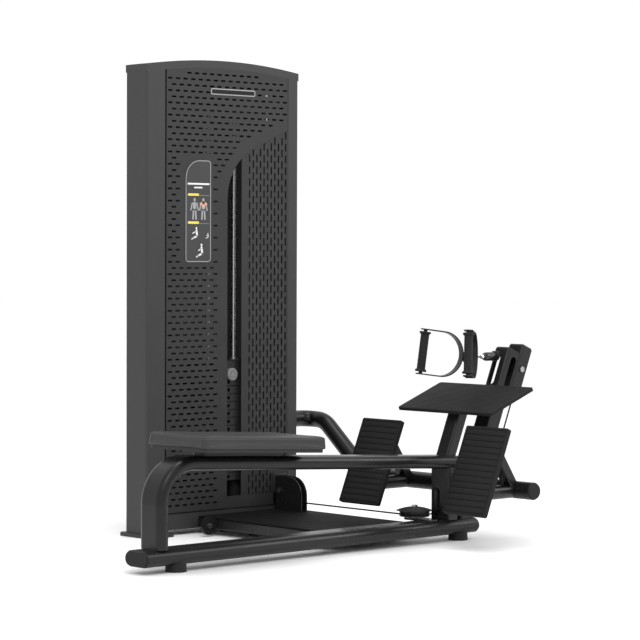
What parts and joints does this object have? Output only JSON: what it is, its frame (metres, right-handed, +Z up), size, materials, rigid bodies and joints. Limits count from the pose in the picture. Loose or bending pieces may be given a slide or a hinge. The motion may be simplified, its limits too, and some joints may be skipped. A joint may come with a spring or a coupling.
{
  "type": "seated cable row machine",
  "caption": "Seated cable row (long pull) machine: sloping seat rail, foot plates, pull handles on a cable and an enclosed, perforated weight tower.",
  "frame": {"origin": "on the floor under the rear foot of the spine, in the centre plane of the seat rail", "axes": "+X along the machine from the seat to the foot end, +Y from the rail to the weight tower, +Z up"},
  "size_m": [1.5975, 1.0986, 1.5],
  "materials": {
    "frame_paint": "satin powder coat",
    "tower_paint": "fine textured powder coat",
    "cap_plastic": "moulded, fine texture",
    "rubber": "matt",
    "vinyl": "grained vinyl",
    "board": "black painted plywood",
    "plate_rubber": "moulded rubber, ribbed",
    "placard_film": "printed film",
    "weight_paint": "black paint",
    "steel": "ground",
    "knob_plastic": "moulded",
    "pulley_nylon": "turned nylon",
    "cable_coat": "coated steel cable",
    "chrome": "polished",
    "handle_paint": "black coat"
  },
  "bodies": {
    "frame": {"bolts": "steel", "brackets": "frame_paint", "cable": "cable_coat", "cable_stop": "rubber", "crossbar": "frame_paint", "crosshead": "tower_paint", "deck_plate": "frame_paint", "deck_tubes": "frame_paint", "foot_plate_far": "plate_rubber", "foot_plate_near": "plate_rubber", "foot_struts": "frame_paint", "foot_tubes": "frame_paint", "front_panel": "tower_paint", "guide_rods": "steel", "head_tube": "frame_paint", "mast": "frame_paint", "placards": "placard_film", "pulley_axles": "steel", "pulley_cheeks": "frame_paint", "pulley_cover": "cap_plastic", "rail_leg": "frame_paint", "rear_cover": "tower_paint", "rod_buffers": "rubber", "seat_board": "board", "seat_mount": "frame_paint", "seat_pad": "vinyl", "seat_rail": "frame_paint", "spine": "frame_paint", "spine_feet": "rubber", "tower_base": "tower_paint", "tower_cap": "tower_paint", "tower_columns": "tower_paint", "tower_feet": "tower_paint", "tray": "plate_rubber", "tray_post": "frame_paint", "tube_caps": "cap_plastic", "weight_plates": "weight_paint", "window_guard": "tower_paint"},
    "stack": {"head_plate": "weight_paint", "head_bushes": "steel", "top_plate": "weight_paint", "selector_stem": "steel", "cable_terminal": "steel", "lift_cable": "cable_coat"},
    "selector": {"selector_pin": "steel", "selector_knob": "knob_plastic"},
    "stack_pulley": {"pulley_stack": "pulley_nylon"},
    "drop_pulley": {"pulley_drop": "pulley_nylon"},
    "low_pulley": {"pulley_low": "pulley_nylon"},
    "spine_pulley": {"pulley_spine": "pulley_nylon"},
    "mast_foot_pulley": {"pulley_mast_foot": "pulley_nylon"},
    "mast_top_pulley": {"pulley_mast_top": "pulley_nylon"},
    "cable_end": {"swivel": "chrome"},
    "yoke": {"yoke": "handle_paint", "yoke_pins": "steel", "handle_cable": "cable_coat"},
    "handle_far": {"handle_strap_far": "handle_paint"},
    "grip_far": {"handle_grip_far": "rubber"},
    "handle_near": {"handle_strap_near": "handle_paint"},
    "grip_near": {"handle_grip_near": "rubber"}
  },
  "joints": [
    {"name": "stack_lift", "type": "slide", "parent": "frame", "child": "stack", "axis": [0, 0, 1], "range_m": [0, 0.55], "deforming": ["lift_cable"]},
    {"name": "selector_pull", "type": "slide", "parent": "stack", "child": "selector", "axis": [0, -1, 0], "range_m": [0, 0.04]},
    {"name": "row_pull", "type": "slide", "parent": "frame", "child": "cable_end", "axis": [-1, 0, 0], "range_m": [0, 0.55]},
    {"name": "stack_pulley_turn", "type": "hinge", "parent": "frame", "child": "stack_pulley", "pos_m": [0.82889, 0.69039, 1.398], "axis": [0.2288, 0.9735, 0], "range_deg": [0, 756]},
    {"name": "drop_pulley_turn", "type": "hinge", "parent": "frame", "child": "drop_pulley", "pos_m": [0.94711, 0.66261, 1.398], "axis": [0.2288, 0.9735, 0], "range_deg": [0, 756]},
    {"name": "low_pulley_turn", "type": "hinge", "parent": "frame", "child": "low_pulley", "pos_m": [0.988, 0.619, 0.118], "axis": [-1, 0, 0], "range_deg": [0, 932]},
    {"name": "spine_pulley_turn", "type": "hinge", "parent": "frame", "child": "spine_pulley", "pos_m": [1.03, 0.056, 0.084], "axis": [0, 0, 1], "range_deg": [0, 756]},
    {"name": "mast_foot_pulley_turn", "type": "hinge", "parent": "frame", "child": "mast_foot_pulley", "pos_m": [1.25914, 0.014, 0.126], "axis": [0, -1, 0], "range_deg": [0, 756]},
    {"name": "mast_top_pulley_turn", "type": "hinge", "parent": "frame", "child": "mast_top_pulley", "pos_m": [1.42358, 0.014, 0.523], "axis": [0, -1, 0], "range_deg": [0, 756]},
    {"name": "yoke_swivel", "type": "hinge", "parent": "cable_end", "child": "yoke", "pos_m": [1.231, 0.014, 0.565], "axis": [1, 0, 0], "continuous": true},
    {"name": "handle_far_swing", "type": "hinge", "parent": "yoke", "child": "handle_far", "pos_m": [1.231, 0.034, 0.565], "axis": [0, 0, 1], "range_deg": [-55, 20]},
    {"name": "handle_near_swing", "type": "hinge", "parent": "yoke", "child": "handle_near", "pos_m": [1.231, -0.006, 0.565], "axis": [0, 0, 1], "range_deg": [-36, 39]},
    {"name": "grip_far_spin", "type": "hinge", "parent": "handle_far", "child": "grip_far", "pos_m": [1.09312, 0.08419, 0.58432], "axis": [0.1227, -0.0446, 0.9914], "continuous": true},
    {"name": "grip_near_spin", "type": "hinge", "parent": "handle_near", "child": "grip_near", "pos_m": [1.11229, -0.09225, 0.58432], "axis": [0.1056, 0.0767, 0.9914], "continuous": true}
  ],
  "couplings": [
    {"joint": "row_pull", "follows": "stack_lift", "ratio": 1},
    {"joint": "stack_pulley_turn", "follows": "stack_lift", "rad_per_m": 23.81},
    {"joint": "drop_pulley_turn", "follows": "stack_lift", "rad_per_m": 23.81},
    {"joint": "low_pulley_turn", "follows": "stack_lift", "rad_per_m": 29.412},
    {"joint": "spine_pulley_turn", "follows": "stack_lift", "rad_per_m": 23.81},
    {"joint": "mast_foot_pulley_turn", "follows": "stack_lift", "rad_per_m": 23.81},
    {"joint": "mast_top_pulley_turn", "follows": "stack_lift", "rad_per_m": 23.81}
  ]
}
